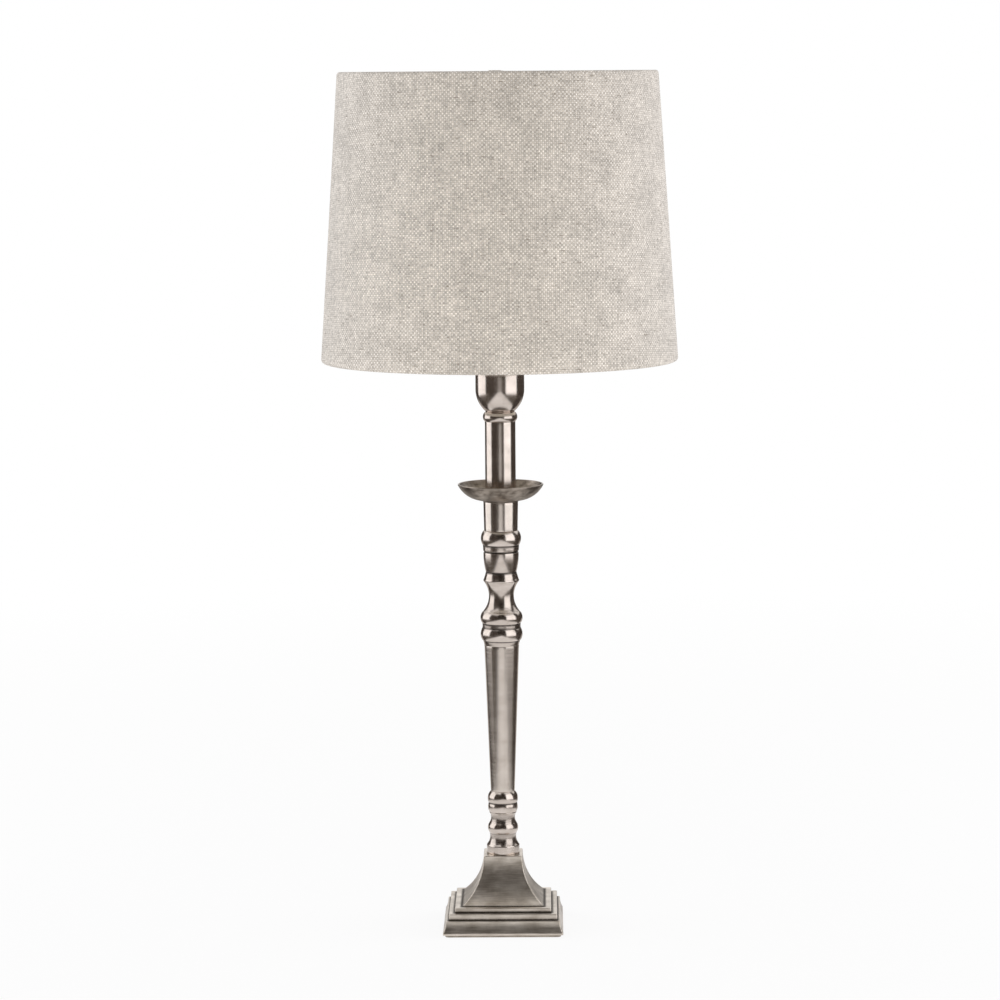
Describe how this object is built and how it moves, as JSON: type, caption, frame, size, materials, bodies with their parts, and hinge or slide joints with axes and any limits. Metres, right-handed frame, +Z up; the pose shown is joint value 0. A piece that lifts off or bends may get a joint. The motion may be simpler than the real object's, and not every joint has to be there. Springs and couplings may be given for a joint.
{
  "type": "candlestick table lamp",
  "caption": "Turned candlestick table lamp on a stepped square foot, with a drip pan, a candle tube and a tapered linen shade.",
  "frame": {"origin": "on the table, in the middle of the foot", "axes": "+Z up the column, -Y the front, +Y the back, where the cord enters the foot"},
  "size_m": [0.2498, 0.2498, 0.6039],
  "materials": {
    "antique_nickel": "antiqued nickel, brushed and waxed",
    "zinc_steel": "zinc-plated, dull",
    "felt": "felt",
    "black_plastic": "matt black",
    "white_plastic": "matt white",
    "ceramic": "glazed white ceramic",
    "brass": "plain brass",
    "white_wire": "white powder coat",
    "linen": "natural linen, plain weave",
    "liner": "white styrene sheet, satin",
    "bulb_glass": "clear glass",
    "filament": "yellow phosphor coat",
    "bulb_metal": "bright nickel plate",
    "black_glass": "black vitrite, glossy",
    "tin": "solder"
  },
  "bodies": {
    "stand": {"base_felt": "felt", "foot": "antique_nickel", "cord_bush": "black_plastic", "lower_knop": "antique_nickel", "ferrule": "antique_nickel", "shaft": "antique_nickel", "collar_knop": "antique_nickel", "waist": "antique_nickel", "vase_knop": "antique_nickel", "socket_tube": "antique_nickel", "drip_pan": "antique_nickel", "candle_bush": "zinc_steel", "candle_tube": "antique_nickel", "neck_ring": "antique_nickel", "holder_cup": "antique_nickel", "centre_rod": "zinc_steel", "rod_nuts": "zinc_steel", "rod_washers": "zinc_steel", "holder_base": "black_plastic", "contact_block": "ceramic", "terminal_screws": "brass", "centre_contact": "brass", "screw_shell": "brass", "holder_skirt": "black_plastic"},
    "shade": {"reducer_ring": "white_plastic", "fitter_ring": "white_wire", "shade_arm_1": "white_wire", "shade_arm_2": "white_wire", "shade_arm_3": "white_wire", "bottom_wire": "white_wire", "top_wire": "white_wire", "shade_liner": "liner", "shade_linen": "linen"},
    "ring_nut": {"shade_ring_nut": "black_plastic"},
    "bulb": {"bulb_contact": "tin", "bulb_insulator": "black_glass", "bulb_cap": "bulb_metal", "bulb_glass": "bulb_glass", "bulb_stem": "bulb_glass", "bulb_leads": "bulb_metal", "bulb_filament_1": "filament", "bulb_filament_2": "filament", "bulb_filament_3": "filament", "bulb_filament_4": "filament"}
  },
  "joints": [
    {"name": "shade_turn", "type": "hinge", "parent": "stand", "child": "shade", "pos_m": [0, 0, 0.4108], "axis": [0, 0, 1], "continuous": true},
    {"name": "ring_nut_unscrew", "type": "slide", "parent": "stand", "child": "ring_nut", "axis": [0, 0, 1], "range_m": [0, 0.011]},
    {"name": "bulb_unscrew", "type": "slide", "parent": "stand", "child": "bulb", "axis": [0, 0, 1], "range_m": [0, 0.21]}
  ]
}
